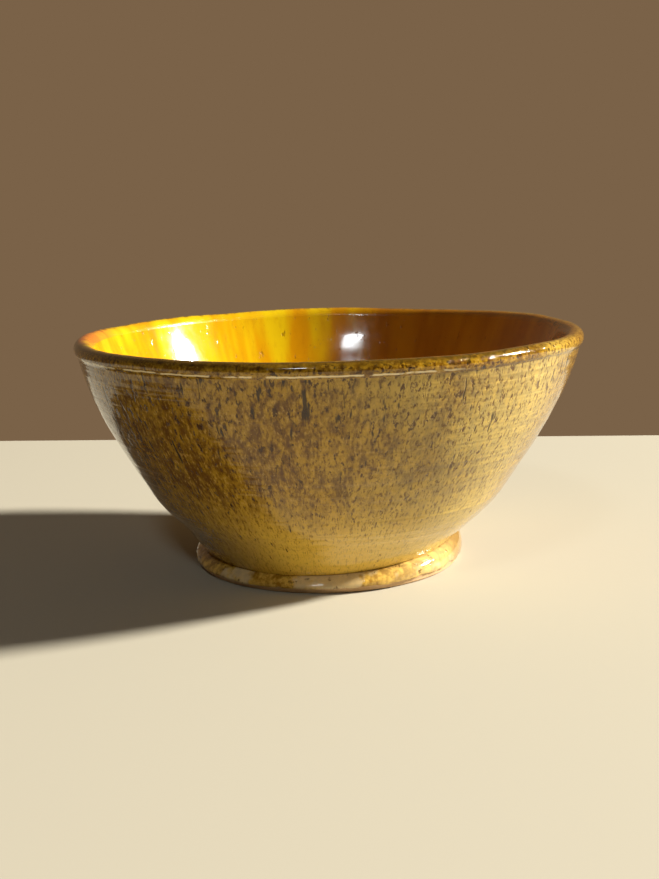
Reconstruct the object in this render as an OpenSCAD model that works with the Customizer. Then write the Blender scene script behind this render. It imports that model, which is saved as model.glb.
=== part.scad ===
// Matcha bowl: a thrown stoneware cup on a luted foot ring, coated with amber glaze.
// Millimetres. +Z up, origin on the table at the centre of the foot.
// A section is drawn once as a line of [radius, height] points. The clay and every coat of
// glaze share that line, so each coat lies on the clay face to face.

/* [Overall] */
// Diameter across the glazed lip
rim_d = 131; // [112:1:150]
// Height from the table to the crest of the lip
bowl_h = 61; // [50:0.5:78]

/* [Wall] */
// Glazed diameter at the knee, where the wall turns up from the base
knee_d = 89; // [80:0.5:100]
// Height of the knee above the table
knee_h = 17; // [14:0.5:22]
// How far either side of the knee the turn is softened
knee_soft = 4.5; // [2:0.5:7]
// Angle from the vertical at which the wall leaves the knee
wall_lean_low = 32.5; // [28:0.5:42]
// Angle from the vertical at which the wall reaches the underside of the lip
wall_lean_high = 11; // [4:1:20]
// Thickness of the glazed wall at the knee
base_wall_t = 6.5; // [5:0.1:8]
// Thickness of the glazed floor in the middle
floor_t = 6.5; // [5:0.1:8]
// How far the well runs out flat before it turns up into the wall, as a share
well_fullness = 0.62; // [0.5:0.05:0.85]

/* [Lip] */
// Radius of the bead on the outside of the lip
lip_out_r = 2; // [1.6:0.1:2.6]
// Radius of the lip's inner edge
lip_in_r = 3.2; // [2.4:0.1:4.2]
// Angle by which the bead curls under, below the horizontal
lip_tuck = 56; // [40:1:72]
// Angle from the vertical of the wall just inside the lip
lip_flare = 20; // [14:1:28]

/* [Foot] */
// Outer diameter of the foot ring at its lower edge
foot_d = 70; // [60:0.2:80]
// Height of the foot ring
foot_h = 6.5; // [5.5:0.1:9]
// Width of the foot ring's flat tread, with its two rounded edges
foot_w = 6.5; // [5:0.1:9]
// How far the neck of the foot is drawn in above its lower edge
foot_neck = 2.2; // [0.8:0.1:2.6]
// How far the side of the foot swells out between neck and lower edge
foot_swell = 1.5; // [0.6:0.1:1.8]
// Radius of the tread's rounded edges
tread_edge_r = 1; // [0.6:0.1:1.6]
// How far the inside of the foot leans in from its lower edge to its top
foot_draft = 1.2; // [0:0.1:2]

/* [Glaze] */
// Thickness of the outside coat
outside_glaze_t = 0.5; // [0.3:0.05:0.8]
// Thickness of the inside coat on the wall
inside_glaze_t = 0.5; // [0.3:0.05:0.8]
// Thickness of the doubled coat over the lip
lip_glaze_t = 0.7; // [0.4:0.05:0.9]
// Thickness of the coat on the side of the foot
foot_glaze_t = 0.35; // [0.2:0.05:0.5]
// Extra depth of the glaze pooled in the middle of the well
pool_t = 1; // [0:0.1:1.6]
// Diameter of the pool of glaze
pool_d = 52; // [30:1:60]
// Share of the foot's side left bare at its lower edge, where the glaze was wiped off
foot_bare = 0.18; // [0.1:0.01:0.4]

/* [Hidden] */
$fn = 180;

// Steps along each stretch of the section
soft_steps = 6;
wall_steps = 16;
bead_steps = 14;
well_steps = 16;
edge_steps = 6;
bare_steps = 3;
foot_steps = 10;

bare_clay = [0.74, 0.60, 0.44];
foot_clay = [0.70, 0.56, 0.40];
ochre = [0.58, 0.43, 0.14];
amber = [0.85, 0.60, 0.07];
dark_amber = [0.36, 0.24, 0.06];
pale_ochre = [0.69, 0.54, 0.24];

// ---- Points and curves in the plane of the section ----

function unit(v) = v / norm(v);
function turned_left(v) = [-v.y, v.x];
function last(list) = list[len(list) - 1];
function without_first(list) = [for (i = [1:len(list) - 1]) list[i]];
function backwards(list) = [for (i = [len(list) - 1:-1:0]) list[i]];
function on_circle(centre, r, angle) = centre + r * [cos(angle), sin(angle)];
function arc(centre, r, from, to, steps) =
    [for (i = [0:steps]) on_circle(centre, r, from + (to - from) * i / steps)];

// The circular arc from p to q that stands off the chord by bulge, on its right-hand side.
// from and to are shares of it, so that a stretch can be drawn by itself.
function bulged(p, q, bulge, from, to, steps) =
    let (chord = norm(q - p), r = chord * chord / (8 * bulge) + bulge / 2)
    let (along = unit(q - p), out = -turned_left(along), half = asin(chord / (2 * r)))
    [for (i = [0:steps]) let (angle = (2 * (from + (to - from) * i / steps) - 1) * half)
        (p + q) / 2 - out * (r - bulge) + r * (out * cos(angle) + along * sin(angle))];

// Bezier curves: one that rounds a corner, and one with two handles
function soft_turn(p, corner, q, steps) =
    [for (i = [0:steps]) let (t = i / steps, s = 1 - t) s * s * p + 2 * s * t * corner + t * t * q];
function bezier(a, b, c, d, steps) =
    [for (i = [0:steps]) let (t = i / steps, s = 1 - t)
        s * s * s * a + 3 * s * s * t * b + 3 * s * t * t * c + t * t * t * d];

// A wall that climbs from p to q and leans by the given angles at its two ends
function leaning(angle) = [tan(angle), 1];
function wall(p, q, low, high, steps) =
    let (third = (q.y - p.y) / 3)
    bezier(p, p + third * leaning(low), q - third * leaning(high), q, steps);

// ---- The glazed surface, from the neck of the foot up over the lip and down to the well ----

neck_r = foot_d / 2 - foot_neck;
neck = [neck_r + outside_glaze_t, foot_h];
knee = [knee_d / 2, knee_h];
bead_centre = [rim_d / 2 - lip_out_r, bowl_h - lip_out_r];
under_lip = on_circle(bead_centre, lip_out_r, -lip_tuck);

wall_start = knee + knee_soft * unit(leaning(wall_lean_low));
outside_line = concat(
    [neck],
    soft_turn(knee - knee_soft * unit(knee - neck), knee, wall_start, soft_steps),
    without_first(wall(wall_start, under_lip, wall_lean_low, wall_lean_high, wall_steps)));

crest_centre = [bead_centre.x, bowl_h - lip_in_r];
lip_line = concat(
    arc(bead_centre, lip_out_r, -lip_tuck, 90, bead_steps),
    without_first(arc(crest_centre, lip_in_r, 90, 180 - lip_flare, edge_steps)));

well_centre = [0, foot_h + floor_t];
inner_top = last(lip_line);
inner_knee = knee + base_wall_t * turned_left(unit(leaning(wall_lean_low)));
// Where the wall, carried straight on down, would meet the level of the floor
well_corner = inner_knee - (inner_knee.y - well_centre.y) * leaning(wall_lean_low);
inside_line = concat(
    backwards(wall(inner_knee, inner_top, wall_lean_low, lip_flare, wall_steps)),
    without_first(bezier(inner_knee, inner_knee + well_fullness * (well_corner - inner_knee),
        well_centre + well_fullness * (well_corner - well_centre), well_centre, well_steps)));

// ---- The clay surface: the glazed line sunk by the local thickness of the glaze ----

glazed_line = concat(outside_line, without_first(lip_line), without_first(inside_line));
lip_start = len(outside_line) - 1;
inside_start = lip_start + len(lip_line) - 1;
line_end = len(glazed_line) - 1;

function pooled(r) = r < pool_d / 2 ? pool_t * pow(cos(90 * r / (pool_d / 2)), 2) : 0;
function glaze_t(i) =
    i < lip_start ? outside_glaze_t :
    i <= inside_start ? lip_glaze_t :
    inside_glaze_t + pooled(glazed_line[i].x);
function into_clay(i) =
    i == 0 ? [-1, 0] :
    i == line_end ? [0, -1] :
    turned_left(unit(unit(glazed_line[i + 1] - glazed_line[i]) + unit(glazed_line[i] - glazed_line[i - 1])));
clay_line = [for (i = [0:line_end]) glazed_line[i] + glaze_t(i) * into_clay(i)];

// ---- The foot ring ----

foot_edge = [foot_d / 2, tread_edge_r];
foot_neck_point = [neck_r, foot_h];
bare_side = bulged(foot_edge, foot_neck_point, foot_swell, 0, foot_bare, bare_steps);
glazed_side = bulged(foot_edge, foot_neck_point, foot_swell, foot_bare, 1, foot_steps);
tread_outer = arc(foot_edge - [tread_edge_r, 0], tread_edge_r, -90, 0, edge_steps);
inner_edge = [foot_d / 2 - foot_w, tread_edge_r];
tread_inner = arc(inner_edge + [tread_edge_r, 0], tread_edge_r, 180, 270, edge_steps);
foot_section = concat(tread_inner, tread_outer, without_first(bare_side), without_first(glazed_side),
    [[inner_edge.x - foot_draft, foot_h]]);

// The glaze on the foot's side stops level with the neck, where the coat on the wall begins
function off_side(i) =
    i == foot_steps ? [1, 0] :
    -turned_left(unit(glazed_side[i + 1] - glazed_side[max(i - 1, 0)]));
foot_glaze_line = [for (i = [0:foot_steps]) let (p = glazed_side[i] + foot_glaze_t * off_side(i))
    [p.x, min(p.y, foot_h)]];

// ---- Pieces ----

module turned(section) rotate_extrude() polygon(section);

// Part of the coat of glaze between two points of the line
module coat(from, to)
    turned(concat([for (i = [from:to]) glazed_line[i]], [for (i = [to:-1:from]) clay_line[i]]));

module thrown_cup() color(bare_clay) turned(concat(clay_line, [[0, foot_h]]));

module foot_ring() color(foot_clay) turned(foot_section);

module outside_glaze() color(ochre) coat(0, lip_start);

module lip_glaze() color(dark_amber) coat(lip_start, inside_start);

module inside_glaze() color(amber) coat(inside_start, line_end);

module foot_glaze() color(pale_ochre) turned(concat(glazed_side, backwards(foot_glaze_line)));

thrown_cup();
foot_ring();
outside_glaze();
inside_glaze();
lip_glaze();
foot_glaze();
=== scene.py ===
import math

import bpy
import numpy as np
from mathutils import Matrix, Vector


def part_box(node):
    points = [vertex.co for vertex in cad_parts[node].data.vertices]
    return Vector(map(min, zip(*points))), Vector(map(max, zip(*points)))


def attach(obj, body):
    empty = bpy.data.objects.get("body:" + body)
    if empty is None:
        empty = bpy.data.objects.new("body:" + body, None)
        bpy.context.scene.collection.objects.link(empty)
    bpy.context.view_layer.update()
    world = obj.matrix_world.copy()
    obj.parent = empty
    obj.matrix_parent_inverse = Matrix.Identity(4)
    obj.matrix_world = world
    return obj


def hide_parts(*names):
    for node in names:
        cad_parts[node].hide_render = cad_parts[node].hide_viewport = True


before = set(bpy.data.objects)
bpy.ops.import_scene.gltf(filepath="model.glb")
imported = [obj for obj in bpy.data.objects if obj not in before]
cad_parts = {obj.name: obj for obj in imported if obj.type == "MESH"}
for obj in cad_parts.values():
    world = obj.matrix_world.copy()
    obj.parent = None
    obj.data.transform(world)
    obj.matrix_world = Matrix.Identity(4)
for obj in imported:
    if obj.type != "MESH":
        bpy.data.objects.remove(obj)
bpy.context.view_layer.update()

scene = bpy.context.scene
scene.view_settings.view_transform = "Standard"


# ---- Camera ----
# A short telephoto held a hand's breadth above the lip, a third of a metre away, tipped a little
# down and a touch out of level, as a phone is held over a table.
CAMERA_PLACE = Vector((0.0010, -0.3326, 0.0967))
CAMERA_DOWN = math.radians(11.06)
CAMERA_TILT = math.radians(1.48)
CAMERA_LENS = 52.0
SENSOR_WIDTH = 36.0
NEAR_CLIP = 0.01

camera = bpy.data.objects.new("camera", bpy.data.cameras.new("camera"))
camera.data.sensor_width = SENSOR_WIDTH
camera.data.lens = CAMERA_LENS
camera.data.clip_start = NEAR_CLIP
look = Matrix.Rotation(math.pi / 2 - CAMERA_DOWN, 4, "X") @ Matrix.Rotation(-CAMERA_TILT, 4, "Z")
camera.matrix_world = Matrix.Translation(CAMERA_PLACE) @ look
scene.collection.objects.link(camera)
scene.camera = camera


# ---- The thrown cup ----
# Floor, wall and lip are one piece of buff stoneware, pulled up on the wheel. It hides under the
# glaze and shows only in the foot's hollow, where the turning tool left its spiral. One line is
# drawn for the glazed surface from the foot to the well, and the clay and its coats share it.
lip_low, lip_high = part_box("lip_glaze")
foot_low, foot_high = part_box("foot_ring")
RIM_R = lip_high.x
RIM_Z = lip_high.z
FOOT_H = foot_high.z
NECK_R = 0.0328
KNEE = np.array((0.0445, 0.0170))
KNEE_SOFT = 0.0045
WALL_LEAN_LOW = 32.5
WALL_LEAN_HIGH = 11.0
WALL_T = 0.0065
FLOOR_T = 0.0065
FLOOR_Z = FOOT_H + FLOOR_T
WELL_FULLNESS = 0.62
LIP_OUT_R = 0.0020
LIP_IN_R = 0.0032
LIP_TUCK = 56.0
LIP_FLARE = 20.0
LIP_FILLET = 0.0005
FILLET_STEPS = 8
OUTSIDE_T = 0.0005
CLAY_AROUND = 240


def unit(v):
    return v / np.linalg.norm(v)


def arc(centre, r, start, end, steps):
    turn = np.radians(np.linspace(start, end, steps + 1))
    return np.array(centre) + r * np.column_stack((np.cos(turn), np.sin(turn)))


def bezier(points, steps):
    points = [np.array(p, float) for p in points]
    t = np.linspace(0, 1, steps + 1)[:, None]
    while len(points) > 1:
        points = [a * (1 - t) + b * t for a, b in zip(points, points[1:])]
    return points[0]


def leaning(angle):
    return np.array((math.tan(math.radians(angle)), 1.0))


def wall(start, end, low, high, steps):
    third = (end[1] - start[1]) / 3
    return bezier((start, start + third * leaning(low), end - third * leaning(high), end), steps)


def joined(*stretches):
    line = [stretches[0]]
    for stretch in stretches[1:]:
        line.append(stretch[1:])
    return np.vstack(line)


def normals_of(line):
    """Unit vectors on the right-hand side of the line: out of the pot, as every line here runs."""
    along = np.gradient(line, axis=0)
    along /= np.linalg.norm(along, axis=1)[:, None]
    return np.column_stack((along[:, 1], -along[:, 0]))


bead_centre = np.array((RIM_R - LIP_OUT_R, RIM_Z - LIP_OUT_R))
crest_centre = np.array((bead_centre[0], RIM_Z - LIP_IN_R))
under_lip = arc(bead_centre, LIP_OUT_R, -LIP_TUCK, -LIP_TUCK, 1)[0]
inner_top = arc(crest_centre, LIP_IN_R, 180 - LIP_FLARE, 180 - LIP_FLARE, 1)[0]
neck = np.array((NECK_R + OUTSIDE_T, FOOT_H))
knee_out = KNEE + KNEE_SOFT * unit(leaning(WALL_LEAN_LOW))
knee_in = KNEE - KNEE_SOFT * unit(KNEE - neck)
fillet_low = under_lip - LIP_FILLET * unit(leaning(WALL_LEAN_HIGH))
fillet_turn = math.degrees(LIP_FILLET / LIP_OUT_R)
bead_start = arc(bead_centre, LIP_OUT_R, fillet_turn - LIP_TUCK, fillet_turn - LIP_TUCK, 1)[0]
fillet = bezier((fillet_low, under_lip, bead_start), FILLET_STEPS)
fillet_middle = FILLET_STEPS // 2

outside_line = joined(
    bezier((neck, knee_in), 12),
    bezier((knee_in, KNEE, knee_out), 10),
    wall(knee_out, under_lip, WALL_LEAN_LOW, WALL_LEAN_HIGH, 64),
)
fillet_margin = 0.0002
below_fillet = outside_line[:, 1] < fillet_low[1] - fillet_margin
outside_line = np.vstack((outside_line[below_fillet], fillet[: fillet_middle + 1]))
lip_line = joined(
    fillet[fillet_middle:],
    arc(bead_centre, LIP_OUT_R, fillet_turn - LIP_TUCK, 90, 22),
    arc(crest_centre, LIP_IN_R, 90, 180 - LIP_FLARE, 12),
)
inner_knee = KNEE + WALL_T * np.array((-1, 1)) * unit(leaning(WALL_LEAN_LOW))[::-1]
well_corner = inner_knee - (inner_knee[1] - FLOOR_Z) * leaning(WALL_LEAN_LOW)
well_centre = np.array((0.0, FLOOR_Z))
inside_line = joined(
    wall(inner_knee, inner_top, WALL_LEAN_LOW, LIP_FLARE, 56)[::-1],
    bezier((inner_knee, inner_knee + WELL_FULLNESS * (well_corner - inner_knee),
            well_centre + WELL_FULLNESS * (well_corner - well_centre), well_centre), 56),
)

glazed_line = joined(outside_line, lip_line, inside_line)
glazed_normals = normals_of(glazed_line)
glazed_normals[-1] = (0, 1)
lip_begins = len(outside_line) - 1
inside_begins = lip_begins + len(lip_line) - 1


class Tree:
    """A node tree being wired up: n() adds a node, and each input takes a value or another socket."""

    def __init__(self, tree):
        self.tree = tree

    def n(self, kind, inputs=(), **settings):
        node = self.tree.nodes.new(kind)
        for name, value in settings.items():
            setattr(node, name, value)
        for key, value in inputs.items() if isinstance(inputs, dict) else enumerate(inputs):
            if isinstance(value, bpy.types.NodeSocket):
                self.tree.links.new(value, node.inputs[key])
            else:
                node.inputs[key].default_value = value
        return node

    def math(self, operation, *values):
        return self.n("ShaderNodeMath", values, operation=operation).outputs[0]

    def vector(self, operation, *values):
        return self.n("ShaderNodeVectorMath", values, operation=operation).outputs[0]

    def scaled(self, vector, factor):
        return self.n("ShaderNodeVectorMath", {0: vector, 3: factor}, operation="SCALE").outputs[0]

    def point(self, x, y, z):
        return self.n("ShaderNodeCombineXYZ", (x, y, z)).outputs[0]

    def parts(self, vector):
        return self.n("ShaderNodeSeparateXYZ", (vector,)).outputs


def potters_wheel():
    """Spins a section line round the Z axis, then gives the pot the wheel's ridges, the glaze's
    swells and the slight lean and unevenness that the hand and the fire leave."""
    tree = bpy.data.node_groups.new("potters_wheel", "GeometryNodeTree")
    face = tree.interface
    face.new_socket("Section", in_out="INPUT", socket_type="NodeSocketGeometry")
    for name, kind in (
        ("Around", "Int"), ("Height", "Float"), ("Radius", "Float"),
        ("Neck height", "Float"), ("Neck slope", "Float"), ("Neck dip", "Float"),
        ("Lean", "Float"), ("Oval", "Float"), ("Rim wave", "Float"),
        ("Ridges", "Float"), ("Swells", "Float"), ("Pebbling", "Float"), ("Ragged edge", "Float"),
        ("Seed", "Float"), ("Finish", "Material"),
    ):
        face.new_socket(name, in_out="INPUT", socket_type="NodeSocket" + kind)
    face.new_socket("Pot", in_out="OUTPUT", socket_type="NodeSocketGeometry")
    t = Tree(tree)
    given = t.n("NodeGroupInput").outputs

    def noise(vector, scale, detail):
        """Noise from about -0.5 to 0.5, picked by the seed."""
        inputs = {"Vector": vector, "W": given["Seed"], "Scale": scale, "Detail": detail}
        node = t.n("ShaderNodeTexNoise", inputs, noise_dimensions="4D")
        return t.math("SUBTRACT", node.outputs[0], 0.5)

    def mark(name):
        return t.n("GeometryNodeInputNamedAttribute", {"Name": name}, data_type="FLOAT").outputs[0]

    # The section stands 1 mm inside its true place, because the path it follows is 1 mm in radius
    hub = 0.001
    merge_within = 1e-6
    section = t.n("GeometryNodeSetPosition", {"Geometry": given["Section"], "Offset": (-hub, 0, 0)})
    line = t.n("GeometryNodeMeshToCurve", {"Mesh": section.outputs[0]})
    path = t.n("GeometryNodeCurvePrimitiveCircle", {"Resolution": given["Around"], "Radius": hub})
    spun = t.n("GeometryNodeCurveToMesh", {"Curve": path.outputs[0], "Profile Curve": line.outputs[0]})
    closed = t.n("GeometryNodeMergeByDistance", {"Geometry": spun.outputs[0], "Distance": merge_within})
    outwards = t.n("GeometryNodeFlipFaces", {"Mesh": closed.outputs[0]})

    place = t.n("GeometryNodeInputPosition").outputs[0]
    x, y, z = t.parts(place)
    spoke = t.vector("NORMALIZE", t.point(x, y, 0.0))
    share = t.math("DIVIDE", z, given["Height"])

    # Out from the surface: ridges that follow the turning, broad swells and a fine pebbling
    ring_place = t.vector("MULTIPLY", place, (5.0, 5.0, 190.0))
    ridges = t.math("MULTIPLY", noise(ring_place, 1.0, 1.5), given["Ridges"])
    swell_scale = 75.0
    swells = t.math("MULTIPLY", noise(place, swell_scale, 1.0), given["Swells"])
    run_place = t.vector("MULTIPLY", place, (1.0, 1.0, 0.45))
    pebble_scale = 430.0
    pebbling = t.math("MULTIPLY", noise(run_place, pebble_scale, 1.0), given["Pebbling"])
    proud = t.math("MULTIPLY", t.math("ADD", t.math("ADD", ridges, swells), pebbling), mark("glazed"))
    outward = t.vector("ADD", t.scaled(spoke, mark("out_r")), t.point(0.0, 0.0, mark("out_z")))
    # Up and down: the ragged edge where a coat ends in waves on the foot
    wave_scale = 7.0
    wave = t.math("MULTIPLY", noise(spoke, wave_scale, 2.0), given["Ragged edge"])
    ragged = t.point(0.0, 0.0, t.math("MULTIPLY", wave, mark("edge")))
    relief = t.vector("ADD", t.scaled(outward, proud), ragged)
    textured = t.n("GeometryNodeSetPosition", {"Geometry": outwards.outputs[0], "Offset": relief})

    # The whole pot: leaning, a little oval, with a lip that rises and falls
    level = t.scaled(t.point(x, y, 0.0), t.math("DIVIDE", 1.0, given["Radius"]))
    across, back, _ = t.parts(level)
    oval = t.math("SUBTRACT", t.math("MULTIPLY", across, across), t.math("MULTIPLY", back, back))
    oval_scale, rim_scale = 1.3, 1.7
    uneven = t.math("ADD", oval, noise(level, oval_scale, 1.0))
    stretch = t.scaled(level, t.math("MULTIPLY", t.math("MULTIPLY", uneven, given["Oval"]), share))
    lean = t.point(t.math("MULTIPLY", given["Lean"], share), 0.0, 0.0)
    high = t.math("MULTIPLY", t.math("MULTIPLY", share, share), given["Rim wave"])
    rise = t.math("MULTIPLY", noise(level, rim_scale, 0.5), high)
    # The crease over the foot slopes from side to side and dips at the front
    from_neck = t.math("ABSOLUTE", t.math("SUBTRACT", z, given["Neck height"]))
    near_neck = t.n("ShaderNodeMapRange", (from_neck, 0.0, given["Neck height"], 1.0, 0.0),
                    interpolation_type="SMOOTHSTEP").outputs[0]
    sideways = t.math("MULTIPLY", across, given["Neck slope"])
    frontwards = t.math("MULTIPLY", back, given["Neck dip"])
    slope = t.math("MULTIPLY", t.math("ADD", sideways, frontwards), near_neck)
    up = t.point(0.0, 0.0, t.math("ADD", rise, slope))
    warp = t.vector("ADD", t.vector("ADD", stretch, lean), up)
    fired = t.n("GeometryNodeSetPosition", {"Geometry": textured.outputs[0], "Offset": warp})

    crease_angle = math.radians(40)
    edge_angle = t.n("GeometryNodeInputMeshEdgeAngle").outputs[0]
    sharp = t.math("GREATER_THAN", edge_angle, crease_angle)
    crease = {"Geometry": fired.outputs[0], "Selection": sharp, "Shade Smooth": False}
    creased = t.n("GeometryNodeSetShadeSmooth", crease, domain="EDGE")
    whole = t.n("GeometryNodeRealizeInstances", {"Geometry": creased.outputs[0]})
    finished = t.n("GeometryNodeSetMaterial", {"Geometry": whole.outputs[0], "Material": given["Finish"]})
    t.n("NodeGroupOutput", {"Pot": finished.outputs[0]})
    return tree


wheel = potters_wheel()
HAND = {
    "Height": RIM_Z, "Radius": RIM_R, "Neck height": FOOT_H, "Neck slope": 0.0024, "Neck dip": 0.0042,
    "Lean": 0.0015, "Oval": 0.0004, "Rim wave": 0.0016, "Seed": 3.0,
}
SMOOTH = {"Ridges": 0.0, "Swells": 0.0, "Pebbling": 0.0, "Ragged edge": 0.0}
WHEEL_MARKS = ("out_r", "out_z", "glazed", "edge")
ON_AXIS = 1e-6


def turn_on_wheel(name, line, marks, around, finish, **sizes):
    """Lays the section line out as a path of edges with its marks, and spins it into a plain mesh.
    A line that starts and ends on the axis closes by itself; any other is joined end to end."""
    count = len(line)
    edges = [(i, i + 1) for i in range(count - 1)]
    if max(line[0, 0], line[-1, 0]) > ON_AXIS:
        edges.append((count - 1, 0))
    # The wheel's path turns the section over, so its heights are laid out downwards
    mesh = bpy.data.meshes.new(name + "_section")
    mesh.from_pydata([(r, -z, 0.0) for r, z in line], edges, [])
    marks = {**{mark: np.zeros(count) for mark in WHEEL_MARKS}, **marks}
    for mark, values in marks.items():
        layer = mesh.attributes.new(mark, "FLOAT", "POINT")
        layer.data.foreach_set("value", np.asarray(values, np.float32))
    section = bpy.data.objects.new(name + "_section", mesh)
    scene.collection.objects.link(section)
    spin = section.modifiers.new("wheel", "NODES")
    spin.node_group = wheel
    sizes = {**HAND, **SMOOTH, "Around": around, "Finish": finish, **sizes}
    for socket in wheel.interface.items_tree:
        if socket.name in sizes:
            spin[socket.identifier] = sizes[socket.name]
    evaluated = section.evaluated_get(bpy.context.evaluated_depsgraph_get())
    turned = bpy.data.meshes.new_from_object(evaluated)
    section.modifiers.remove(spin)
    bpy.data.objects.remove(section)
    for mark in WHEEL_MARKS:
        turned.attributes.remove(turned.attributes[mark])
    piece = bpy.data.objects.new(name, turned)
    turned.name = name
    scene.collection.objects.link(piece)
    return piece


def colour(red, green, blue):
    """A colour as read off a paint card, from 0 to 255, made linear."""
    card = [c / 255 for c in (red, green, blue)]
    return [c / 12.92 if c <= 0.04045 else ((c + 0.055) / 1.055) ** 2.4 for c in card] + [1.0]


class Finish(Tree):
    """A material for fired clay or glaze, in the pot's own coordinates: spoke points out from the
    axis, facing is how far it turns to +X, and reach is the distance from the axis."""

    def __init__(self, name):
        self.material = bpy.data.materials.new(name)
        self.material.use_nodes = True
        self.material.node_tree.nodes.clear()
        super().__init__(self.material.node_tree)
        self.place = self.n("ShaderNodeTexCoord").outputs["Object"]
        self.x, self.y, self.z = self.parts(self.place)
        level = self.point(self.x, self.y, 0.0)
        self.spoke = self.vector("NORMALIZE", level)
        self.facing = self.parts(self.spoke)[0]
        self.reach = self.n("ShaderNodeVectorMath", (level,), operation="LENGTH").outputs["Value"]

    def noise(self, vector, scale, detail=2.0, roughness=0.5):
        inputs = {"Vector": vector, "Scale": scale, "Detail": detail, "Roughness": roughness}
        return self.n("ShaderNodeTexNoise", inputs).outputs[0]

    def step(self, value, low, high, out_low=0.0, out_high=1.0):
        """Eases from out_low to out_high as value goes from low to high."""
        return self.n("ShaderNodeMapRange", (value, low, high, out_low, out_high),
                      interpolation_type="SMOOTHSTEP").outputs[0]

    def mix(self, share, under, over):
        """Lays a share of the colour over on the colour under."""
        return self.n("ShaderNodeMix", {0: share, 6: under, 7: over}, data_type="RGBA").outputs[2]

    def bump(self, height, distance, normal=None):
        inputs = {"Height": height, "Distance": distance}
        if normal:
            inputs["Normal"] = normal
        return self.n("ShaderNodeBump", inputs).outputs[0]

    def shade(self, **inputs):
        keys = {"color": "Base Color", "roughness": "Roughness", "normal": "Normal", "ior": "IOR",
                "coat": "Coat Weight", "coat_roughness": "Coat Roughness", "coat_normal": "Coat Normal"}
        shader = self.n("ShaderNodeBsdfPrincipled", {keys[k]: v for k, v in inputs.items()})
        self.n("ShaderNodeOutputMaterial", {"Surface": shader.outputs[0]})
        return self.material


BUFF_CLAY = colour(196, 160, 116)
PALE_CLAY = colour(216, 182, 138)
SANDY_GRAIN = colour(170, 130, 90)
CLAY_IRON = colour(104, 66, 40)
CLAY_ROUGHNESS = 0.86
SPIRAL_PITCH = 0.0021
SPIRAL_DEPTH = 0.00012
GRAIN_DEPTH = 0.00012


def bare_clay():
    """Buff stoneware with a sandy grain, a few iron grains and the turning tool's spiral."""
    f = Finish("bare_stoneware")
    grain = f.noise(f.place, 2600.0, 3.0, 0.7)
    cloud = f.noise(f.place, 90.0, 3.0)
    iron = f.step(f.noise(f.place, 900.0, 1.0), 0.70, 0.78)
    clay = f.mix(f.step(cloud, 0.35, 0.65), BUFF_CLAY, PALE_CLAY)
    clay = f.mix(f.step(grain, 0.3, 0.7, 0.0, 0.35), clay, SANDY_GRAIN)
    clay = f.mix(iron, clay, CLAY_IRON)
    angle = f.math("ARCTAN2", f.y, f.x)
    spiral = f.math("SINE", f.math("ADD", f.math("MULTIPLY", f.reach, math.tau / SPIRAL_PITCH), angle))
    tooled = f.bump(spiral, SPIRAL_DEPTH)
    return f.shade(color=clay, roughness=CLAY_ROUGHNESS, normal=f.bump(grain, GRAIN_DEPTH, tooled))


clay_finish = bare_clay()
clay_line = glazed_line - OUTSIDE_T * glazed_normals
clay_line[0] = (NECK_R, FOOT_H)
clay_line = np.vstack(((0.0, FOOT_H), clay_line))
cup = turn_on_wheel("cup_clay", clay_line, {}, CLAY_AROUND, clay_finish)
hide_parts("thrown_cup")
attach(cup, "root")


# ---- The outside glaze ----
# The iron-amber glaze poured over the wall. It is glassy and thin over ochre slip, mottled with
# brown, and broken by iron specks and short dark runs that crowd towards the lip.
GLAZE_AROUND = 620
GLAZE_RELIEF = {"Ridges": 0.00030, "Swells": 0.00036, "Pebbling": 0.00006}
RING_DEPTH = 0.00050
PEEL_DEPTH = 0.00006
COAT_PEEL_DEPTH = 0.00002
PIT_DEPTH = 0.00009
SPOT_R = 0.058
RUN_DRAW = 0.5
LONG_RUN_DRAW = 0.22
BROWN = colour(112, 74, 6)
OCHRE = colour(180, 138, 30)
# A lighter yellow for low on the wall
LOW_WALL_OCHRE = colour(238, 196, 78)
# Painted shade: the browner colour of the side away from the soft box
SHADE_SIDE_BROWN = colour(74, 42, 2)
# Painted light: the lighter ochre of the side that faces the soft box
LIT_SIDE_OCHRE = colour(210, 190, 112)
# Painted shade: darker ochre where the wall faces the soft box squarely, to tame its glare
GLARE_SHADE_OCHRE = colour(132, 90, 18)
FINE_DARK = colour(88, 52, 8)
FINE_LIGHT = colour(200, 160, 72)
IRON_SPECK = colour(60, 30, 4)
# Painted light: the lighter specks on the side that faces the soft box
LIT_SIDE_IRON_SPECK = colour(96, 60, 12)
IRON_RUN = colour(40, 22, 6)
AMBER_R = 0.060
AMBER = colour(202, 172, 12)
ORANGE_RUN = colour(190, 134, 4)
# Painted shade: darker honey for the inner wall towards +X, in the rim's shadow
SHADED_HONEY = colour(150, 98, 6)
SHADED_HONEY_RUN = colour(132, 78, 4)


def coat_section(line, normals, thickness, back_every=6):
    """A coat's closed section: along the clay in longer steps, then back along its skin."""
    back = np.arange(len(line) - 1, -1, -back_every)
    if back[-1] != 0:
        back = np.append(back, 0)
    under = line[back] - np.asarray(thickness)[back, None] * normals[back]
    outward = np.vstack((normals[back], normals))
    glazed = np.concatenate((np.zeros(len(back)), np.ones(len(line))))
    return np.vstack((under, line)), {"out_r": outward[:, 0], "out_z": outward[:, 1], "glazed": glazed}


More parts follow.
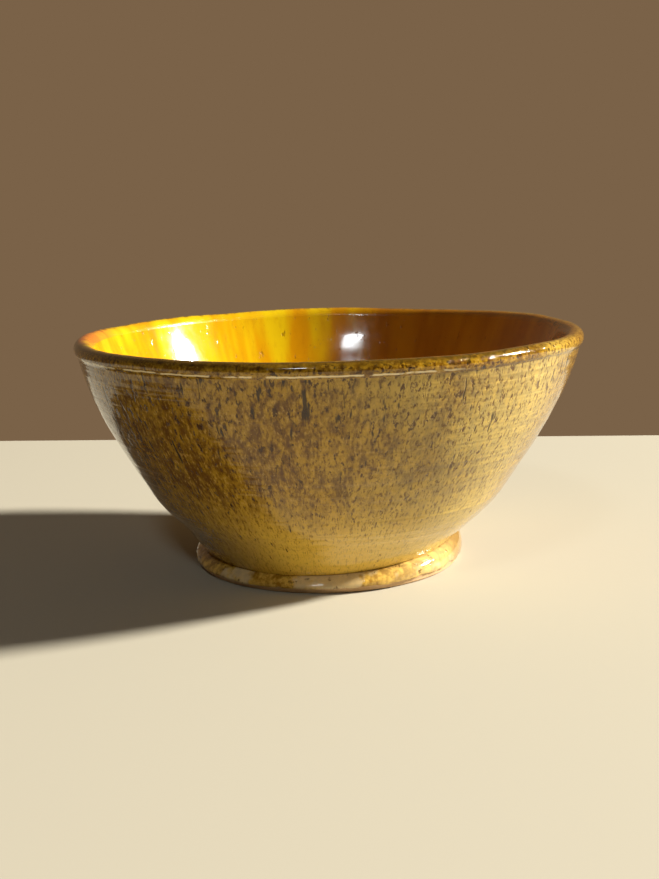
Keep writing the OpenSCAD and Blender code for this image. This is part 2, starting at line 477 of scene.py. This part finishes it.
class Glaze(Finish):
    """What every coat of this glaze shares, so that one coat runs into the next without a seam.
    On runs and long_runs a noise keeps its breadth round the pot and is drawn out downwards."""

    def __init__(self, name):
        super().__init__(name)
        sx, sy, _ = self.parts(self.scaled(self.spoke, SPOT_R))
        self.runs = self.point(sx, sy, self.math("MULTIPLY", self.z, RUN_DRAW))
        self.long_runs = self.point(sx, sy, self.math("MULTIPLY", self.z, LONG_RUN_DRAW))
        self.cloud = self.noise(self.place, 60.0, 2.0)
        self.blotch = self.blotches(self.runs)

    def blotches(self, place):
        return self.noise(place, 560.0, 4.0, 0.62)

    def mottled(self, runs, long_runs, lit_side_colour, lit_side_from):
        """Ochre under a brown mottle, with iron specks and runs; the second result marks the pits.
        Low on the wall it turns a lighter yellow, less so towards -X. What faces -X is browner, painted
        shade on the side away from the soft box; what faces +X is lighter, specks too, painted light on the
        lit side; but a darker belt where it faces +X squarely is painted shade that tames the soft box's
        glare."""
        drift = self.math("MULTIPLY", self.math("SUBTRACT", self.cloud, 0.5), 0.8)
        # Painted light: lighter towards +X, the side the soft box lights
        lit_side_share = self.step(self.math("ADD", self.facing, drift), lit_side_from, 0.85)
        # Painted shade: browner towards -X, the side away from the soft box
        shade_side_share = self.step(self.facing, -0.15, -0.85)
        # Painted shade: a darker belt where the wall faces +X squarely, against the soft box's glare
        glare_shade_share = self.step(self.facing, 0.78, 0.97, 0.0, 0.85)
        # Lighter yellow low on the wall, weaker towards -X
        low_wall_share = self.math("MULTIPLY", self.step(self.z, 0.032, 0.010),
                           self.step(self.facing, -0.85, -0.25, 0.3, 0.9))
        tone = self.math("ADD", self.math("MULTIPLY", self.cloud, 0.25),
                         self.math("MULTIPLY", self.blotches(runs), 0.75))
        body = self.mix(self.step(tone, 0.38, 0.62), BROWN, OCHRE)
        body = self.mix(low_wall_share, body, LOW_WALL_OCHRE)
        body = self.mix(self.math("MULTIPLY", shade_side_share, 0.4), body, SHADE_SIDE_BROWN)
        body = self.mix(self.math("MULTIPLY", lit_side_share, 0.6), body, lit_side_colour)
        body = self.mix(glare_shade_share, body, GLARE_SHADE_OCHRE)

        fine = self.noise(runs, 1500.0, 3.0, 0.65)
        darker = self.math("MULTIPLY", self.step(fine, 0.50, 0.66), self.step(self.z, 0.010, 0.026, 0.4, 0.8))
        body = self.mix(darker, body, FINE_DARK)
        body = self.mix(self.step(fine, 0.46, 0.32, 0.0, 0.6), body, FINE_LIGHT)

        # Specks and dashes are where a noise passes a limit that falls towards the lip
        speck_limit = self.math("ADD", self.step(self.z, 0.012, 0.030, 0.67, 0.62),
                                self.step(self.z, 0.030, 0.058, 0.0, -0.04))
        speck = self.noise(runs, 900.0, 3.0, 0.6)
        specks = self.step(self.math("SUBTRACT", speck, speck_limit), -0.02, 0.07)
        # Painted light: the specks are lighter towards +X too
        iron = self.mix(lit_side_share, IRON_SPECK, LIT_SIDE_IRON_SPECK)
        body = self.mix(self.math("MULTIPLY", specks, 0.9), body, iron)
        dash_limit = self.step(self.z, 0.022, 0.058, 0.74, 0.64)
        dash = self.noise(long_runs, 680.0, 2.0, 0.5)
        dashes = self.step(self.math("SUBTRACT", dash, dash_limit), -0.02, 0.06)
        body = self.mix(self.math("MULTIPLY", dashes, 0.9), body, IRON_RUN)
        return body, self.math("MAXIMUM", specks, dashes)

    def clear(self):
        """The clear amber over white slip, with soft orange runs; browner towards +X, painted shade for the
        inner wall there, which the rim keeps from the soft box.
        """
        on_wall = self.step(self.reach, 0.014, 0.034)
        runs = self.noise(self.long_runs, 150.0, 2.0, 0.5)
        pooling = self.noise(self.place, 90.0, 2.0, 0.5)
        streak = self.n("ShaderNodeMix", {0: on_wall, 2: pooling, 3: runs}, data_type="FLOAT").outputs[0]
        streak = self.step(streak, 0.36, 0.68)
        bright = self.mix(streak, AMBER, ORANGE_RUN)
        shaded_amber = self.mix(streak, SHADED_HONEY, SHADED_HONEY_RUN)
        # Painted shade: the inner wall towards +X turns to darker honey, as it lies in the rim's shadow
        shaded_side_inside = self.step(self.x, -0.30 * AMBER_R, 0.45 * AMBER_R)
        return self.mix(shaded_side_inside, bright, shaded_amber)

    def glassy(self, color, pits, tooled=None, dulled=0.0):
        """The glassy skin of the wall: bright, with a fine orange peel and small pits."""
        peel = self.noise(self.runs, 640.0, 2.0, 0.5)
        skin = self.bump(peel, PEEL_DEPTH, tooled)
        skin = self.bump(pits, -PIT_DEPTH, skin)
        rough = self.math("ADD", self.step(self.blotch, 0.3, 0.75, 0.05, 0.13), dulled)
        return self.shade(color=color, roughness=rough, normal=skin, ior=1.45, coat=0.35, coat_roughness=0.03,
                          coat_normal=self.bump(peel, COAT_PEEL_DEPTH))


def ochre_glaze():
    f = Glaze("ochre_glaze")
    body, pits = f.mottled(f.runs, f.long_runs, LIT_SIDE_OCHRE, -0.1)
    rings = f.noise(f.vector("MULTIPLY", f.place, (9.0, 9.0, 430.0)), 1.0, 2.0, 0.6)
    return f.glassy(body, pits, f.bump(rings, RING_DEPTH))


ochre = ochre_glaze()
outside_points = glazed_line[: lip_begins + 1]
section, marks = coat_section(outside_points, glazed_normals[: lip_begins + 1],
                              np.full(len(outside_points), OUTSIDE_T))
outside = turn_on_wheel("outside_coat", section, marks, GLAZE_AROUND, ochre, **GLAZE_RELIEF)
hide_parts("outside_glaze")
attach(outside, "root")


# ---- The lip glaze ----
# The lip was dipped twice. Its face carries the wall's mottling, its crest is a darker olive brown,
# partly the glaze's own and partly painted shade, left off where it faces +X towards the soft box,
# and its inner slope clears to the amber of the inside.
LIP_T = 0.0007
LIP_RELIEF = {**GLAZE_RELIEF, "Pebbling": 0.00003}
# Painted light: the lighter lip colour on the side that faces the soft box
LIT_SIDE_LIP = colour(212, 184, 84)
DARK_OLIVE = colour(44, 30, 6)
OLIVE = colour(98, 72, 16)
# Painted highlight: the colour of the thin pale line under the lip
PAINTED_HIGHLIGHT_LINE = colour(244, 226, 180)
RED_FLUSH = colour(204, 92, 50)


def olive_glaze():
    """Across the lip, across goes from 0 under the bead to 1 at the inside."""
    f = Glaze("lip_glaze")
    body, pits = f.mottled(f.place, f.place, LIT_SIDE_LIP, 0.45)
    across = f.n("ShaderNodeAttribute", attribute_name="across").outputs["Fac"]
    wander = f.math("SUBTRACT", f.noise(f.place, 420.0, 3.0, 0.6), 0.5)
    wandering = f.math("ADD", across, f.math("MULTIPLY", wander, 0.4))
    olive = f.mix(f.noise(f.place, 700.0, 3.0, 0.6), DARK_OLIVE, OLIVE)
    # Partly painted shade: the dark olive crest is left off where the lip faces +X towards the soft box
    olive_crest_and_shade = f.math("MULTIPLY", f.step(wandering, 0.24, 0.60, 0.0, 0.9), f.step(f.facing, 0.98, 0.55))
    body = f.mix(olive_crest_and_shade, body, olive)
    # A painted highlight: a thin, broken pale line along the edge of the second dip, left off where the lip
    # faces +X
    line = f.math("ADD", across, f.math("MULTIPLY", wander, 0.09))
    line = f.math("MULTIPLY", f.step(line, 0.110, 0.13), f.step(line, 0.19, 0.17))
    gaps = f.step(f.noise(f.place, 260.0, 3.0), 0.38, 0.46)
    broken = f.math("MULTIPLY", gaps, f.step(f.facing, 0.55, 0.35))
    body = f.mix(f.math("MULTIPLY", f.math("MULTIPLY", line, broken), 0.85), body, PAINTED_HIGHLIGHT_LINE)
    slope = f.step(wandering, 0.62, 0.80)
    body = f.mix(slope, body, f.clear())
    flushed = f.math("MULTIPLY", f.step(f.facing, -0.94, -1.0), f.step(across, 0.45, 0.70))
    body = f.mix(f.math("MULTIPLY", flushed, 0.5), body, RED_FLUSH)
    shallow_pits = f.math("MULTIPLY", pits, 0.3)
    return f.glassy(body, shallow_pits, dulled=f.math("MULTIPLY", slope, 0.12))


olive = olive_glaze()
lip_points = glazed_line[lip_begins : inside_begins + 1]
section, marks = coat_section(lip_points, glazed_normals[lip_begins : inside_begins + 1],
                              np.full(len(lip_points), LIP_T), 4)
backs = len(section) - len(lip_points)
marks["across"] = np.concatenate((np.linspace(1, 0, backs), np.linspace(0, 1, len(lip_points))))
lip = turn_on_wheel("lip_coat", section, marks, GLAZE_AROUND, olive, **LIP_RELIEF)
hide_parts("lip_glaze")
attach(lip, "root")


# ---- The inside glaze ----
# The same glaze lies thick inside, over white slip: clear amber yellow with soft orange runs down
# the wall, and a dark honey pool at the bottom of the well.
POOL_T = 0.0010
POOL_R = 0.026
INSIDE_T = 0.0005
INSIDE_RELIEF = {"Ridges": 0.00016, "Swells": 0.00020, "Pebbling": 0.00001}
INSIDE_PIT_DEPTH = 0.00004
AMBER_BLOTCH = colour(146, 88, 4)
HONEY_POOL = colour(128, 72, 4)
AMBER_SPECK = colour(92, 50, 4)


def amber_glaze():
    f = Glaze("amber_glaze")
    body = f.clear()
    body = f.mix(f.step(f.blotch, 0.50, 0.80, 0.0, 0.3), body, AMBER_BLOTCH)
    pool = f.step(f.reach, 0.030, 0.008)
    body = f.mix(f.math("MULTIPLY", pool, 0.65), body, HONEY_POOL)
    specks = f.step(f.noise(f.runs, 800.0, 2.0, 0.6), 0.66, 0.75)
    body = f.mix(f.math("MULTIPLY", specks, 0.5), body, AMBER_SPECK)
    rough = f.step(f.blotch, 0.3, 0.75, 0.10, 0.16)
    return f.shade(color=body, roughness=rough, normal=f.bump(specks, -INSIDE_PIT_DEPTH), ior=1.45,
                   coat=0.35, coat_roughness=0.05)


amber = amber_glaze()
inside_points = glazed_line[inside_begins:]
inward = np.minimum(inside_points[:, 0], POOL_R) / POOL_R
section, marks = coat_section(inside_points, glazed_normals[inside_begins:],
                              INSIDE_T + POOL_T * np.cos(inward * math.pi / 2) ** 2)
inside = turn_on_wheel("inside_coat", section, marks, GLAZE_AROUND, amber, **INSIDE_RELIEF)
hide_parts("inside_glaze")
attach(inside, "root")


# ---- The foot ring ----
# A ring of the same clay, luted under the cup and turned, with a flat tread that is left bare so
# that it doesn't stick to the kiln shelf.
FOOT_R = 0.035
TREAD_EDGE_R = 0.0010
FOOT_W = 0.0065
FOOT_DRAFT = 0.0012
FOOT_SWELL = 0.0015
FOOT_AROUND = 360
foot_edge = np.array((FOOT_R, TREAD_EDGE_R))
foot_neck = np.array((NECK_R, FOOT_H))


def swelling(start, end, swell, steps):
    """An arc from start to end that stands out by swell at its middle."""
    chord = np.linalg.norm(end - start)
    radius = chord * chord / (8 * swell) + swell / 2
    along = unit(end - start)
    out = np.array((along[1], -along[0]))
    half = math.asin(chord / (2 * radius))
    turn = np.linspace(-half, half, steps + 1)[:, None]
    return (start + end) / 2 - out * (radius - swell) + radius * (out * np.cos(turn) + along * np.sin(turn))


foot_side = swelling(foot_edge, foot_neck, FOOT_SWELL, 30)
inner_edge = np.array((FOOT_R - FOOT_W, TREAD_EDGE_R))
foot_line = joined(
    arc(inner_edge + (TREAD_EDGE_R, 0), TREAD_EDGE_R, 180, 270, 8),
    np.vstack(((0, 0), arc(foot_edge - (TREAD_EDGE_R, 0), TREAD_EDGE_R, -90, 0, 8))),
    foot_side,
    np.array(((0, 0), (inner_edge[0] - FOOT_DRAFT, FOOT_H))),
)
foot = turn_on_wheel("foot_clay", foot_line, {}, FOOT_AROUND, clay_finish)
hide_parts("foot_ring")
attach(foot, "root")


# ---- The foot glaze ----
# A thin skin of glaze on the side of the foot, wiped off above the tread by a wet sponge, so that
# its edge runs in waves and its thin places look milky.
FOOT_GLAZE_T = 0.00035
FOOT_BARE_STEPS = 5
FOOT_GLAZE_AROUND = 480
FOOT_RELIEF = {**GLAZE_RELIEF, "Ragged edge": 0.0024}
FOOT_RELIEF_SHARE = 0.3
FOOT_BROWN = colour(150, 108, 28)
FOOT_OCHRE = colour(218, 176, 76)
MILKY = colour(218, 196, 152)
# Painted light: the lighter foot glaze of the side that faces the soft box
LIT_SIDE_FOOT = colour(202, 186, 136)
# Painted shade: darker foot glaze where it faces the soft box squarely
GLARE_SHADE_FOOT = colour(134, 100, 46)
FOOT_IRON = colour(88, 56, 16)


def milky_glaze():
    """Thin and milky in places, most of all at the front and back; lighter towards +X, painted light on
    the lit side, but darker again where it faces +X squarely, painted shade against the soft box's glare."""
    f = Glaze("foot_glaze")
    grain = f.noise(f.place, 520.0, 4.0, 0.62)
    body = f.mix(f.step(grain, 0.36, 0.64), FOOT_BROWN, FOOT_OCHRE)
    front = f.step(f.math("ABSOLUTE", f.facing), 0.45, 0.10, 0.0, 0.12)
    thin = f.math("ADD", f.noise(f.place, 110.0, 3.0, 0.6), front)
    milk = f.step(thin, 0.52, 0.62)
    body = f.mix(f.math("MULTIPLY", milk, 0.7), body, MILKY)
    # Painted light: lighter towards +X, the side the soft box lights
    body = f.mix(f.step(f.facing, 0.1, 0.9, 0.0, 0.5), body, LIT_SIDE_FOOT)
    # Painted shade: darker where the foot faces the soft box squarely, to tame its glare
    body = f.mix(f.step(f.facing, 0.80, 0.98, 0.0, 0.8), body, GLARE_SHADE_FOOT)
    iron = f.step(f.noise(f.place, 420.0, 3.0, 0.6), 0.60, 0.70)
    body = f.mix(f.math("MULTIPLY", iron, 0.8), body, FOOT_IRON)
    return f.glassy(body, iron)


milky = milky_glaze()
skin = foot_side[FOOT_BARE_STEPS:]
skin_normals = normals_of(foot_side)[FOOT_BARE_STEPS:]
foot_skin = skin + FOOT_GLAZE_T * skin_normals
foot_skin[:, 1] = np.minimum(foot_skin[:, 1], FOOT_H)
section, marks = coat_section(foot_skin, skin_normals, np.full(len(skin), FOOT_GLAZE_T), 1)
marks["edge"] = np.concatenate((np.linspace(0, 1, len(skin)), np.linspace(1, 0, len(skin)))) ** 2
marks["glazed"] = marks["glazed"] * FOOT_RELIEF_SHARE
foot_coat = turn_on_wheel("foot_coat", section, marks, FOOT_GLAZE_AROUND, milky, **FOOT_RELIEF)
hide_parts("foot_glaze")
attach(foot_coat, "root")


# ---- Floor and light ----
# A plain pale table top, one soft box far off at the right and a little behind, a window behind
# the camera, and a dim warm room that is lighter at the back. The table's far edge runs aslant.
FLOOR_FRONT = -1.2
FLOOR_BACK = 0.165
FLOOR_SIDE = 1.2
FLOOR_SKEW = 0.108
FLOOR_COLOUR = colour(180, 176, 160)
FLOOR_ROUGHNESS = 0.75
ROOM_FRONT = colour(62, 49, 36)
ROOM_BACK = colour(122, 98, 72)
WARM_WHITE = colour(255, 247, 234)
COOL_WHITE = colour(232, 240, 244)
floor_mesh = bpy.data.meshes.new("floor")
floor_corners = [
    (-FLOOR_SIDE, FLOOR_FRONT, 0), (FLOOR_SIDE, FLOOR_FRONT, 0),
    (FLOOR_SIDE, FLOOR_BACK - FLOOR_SKEW, 0), (-FLOOR_SIDE, FLOOR_BACK + FLOOR_SKEW, 0),
]
floor_mesh.from_pydata(floor_corners, [], [(0, 1, 2, 3)])
floor = bpy.data.objects.new("floor", floor_mesh)
floor_finish = Finish("pale_floor").shade(color=FLOOR_COLOUR, roughness=FLOOR_ROUGHNESS)
floor_mesh.materials.append(floor_finish)
scene.collection.objects.link(floor)

world = bpy.data.worlds.new("room")
world.use_nodes = True
room = Tree(world.node_tree)
towards = room.parts(room.n("ShaderNodeTexCoord").outputs["Generated"])
rearward = room.n("ShaderNodeMapRange", (towards[1], -0.1, 0.75, 0.0, 1.0), interpolation_type="SMOOTHSTEP")
walls = room.n("ShaderNodeMix", {0: rearward.outputs[0], 6: ROOM_FRONT, 7: ROOM_BACK}, data_type="RGBA")
world.node_tree.links.new(walls.outputs[2], world.node_tree.nodes["Background"].inputs[0])
scene.world = world


def soft_light(name, place, energy, tint, width, height):
    """An oval soft light that shines at the bowl from a place given in metres."""
    lamp = bpy.data.objects.new(name, bpy.data.lights.new(name, "AREA"))
    lamp.data.energy = energy
    lamp.data.color = tint[:3]
    lamp.data.shape = "ELLIPSE"
    lamp.data.size = width
    lamp.data.size_y = height
    lamp.location = place
    lamp.rotation_euler = place.to_track_quat("Z", "Y").to_euler()
    scene.collection.objects.link(lamp)


soft_light("soft_box", Vector((3.432, 0.300, 2.030)), energy=496.0, tint=WARM_WHITE, width=0.44, height=0.44)
soft_light("window", Vector((-0.23, -0.82, 0.89)), energy=1.8, tint=COOL_WHITE, width=0.19, height=0.09)
